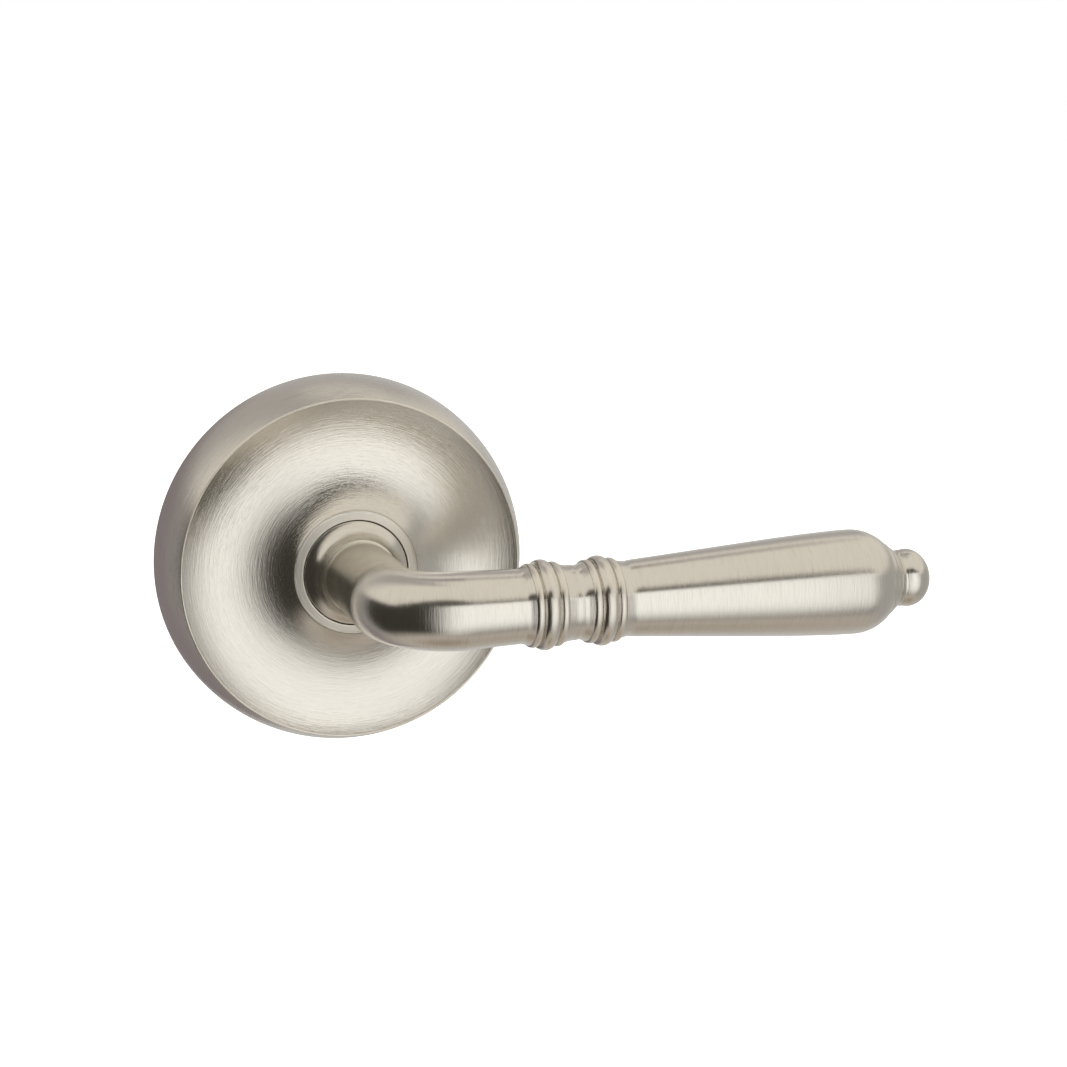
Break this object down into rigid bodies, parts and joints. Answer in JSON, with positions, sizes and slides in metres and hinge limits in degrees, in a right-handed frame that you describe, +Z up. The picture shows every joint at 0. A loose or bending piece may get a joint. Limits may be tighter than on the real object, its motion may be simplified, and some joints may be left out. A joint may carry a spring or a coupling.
{
  "type": "door lever handle",
  "caption": "Door lever on a round dished rosette, with two turned bead groups, a swelling grip and a button end, sprung to level, with its spindle and fixing posts.",
  "frame": {"origin": "on the spindle axis, at the flat back of the rosette where it meets the door", "axes": "+X along the lever arm to its tip, +Y into the door, -Y out of the door towards the user, +Z up"},
  "size_m": [0.128, 0.1035, 0.0666],
  "materials": {
    "satin_nickel": "satin nickel plate on brass, brushed",
    "zinc_plate": "bright zinc-plated steel",
    "cast_zinc": "plain die-cast zinc",
    "spring_steel": "oiled spring steel",
    "dark_screw": "black oxide steel",
    "nylon": "natural nylon"
  },
  "bodies": {
    "rose_body": {"rosette": "satin_nickel", "bearing_bush": "nylon", "mounting_plate": "zinc_plate", "spring_cup": "cast_zinc", "return_spring": "spring_steel", "plate_screw_1": "dark_screw", "plate_screw_2": "dark_screw", "plate_screw_3": "dark_screw", "plate_screw_4": "dark_screw", "cup_screw_1": "zinc_plate", "cup_screw_2": "zinc_plate", "stop_pin_1": "spring_steel", "stop_pin_2": "spring_steel", "post_left": "zinc_plate", "post_right": "zinc_plate"},
    "lever_body": {"lever": "satin_nickel", "thrust_washer": "nylon", "spring_driver": "zinc_plate", "wave_washer": "spring_steel", "retaining_ring": "spring_steel", "spindle": "zinc_plate", "grub_screw": "dark_screw"}
  },
  "joints": [
    {"name": "lever_turn", "type": "hinge", "parent": "rose_body", "child": "lever_body", "pos_m": [0, 0, 0], "axis": [0, 1, 0], "range_deg": [0, 50], "stiffness_Nm_per_rad": 0.5, "springref_deg": -51.57, "deforming": ["return_spring"]}
  ]
}
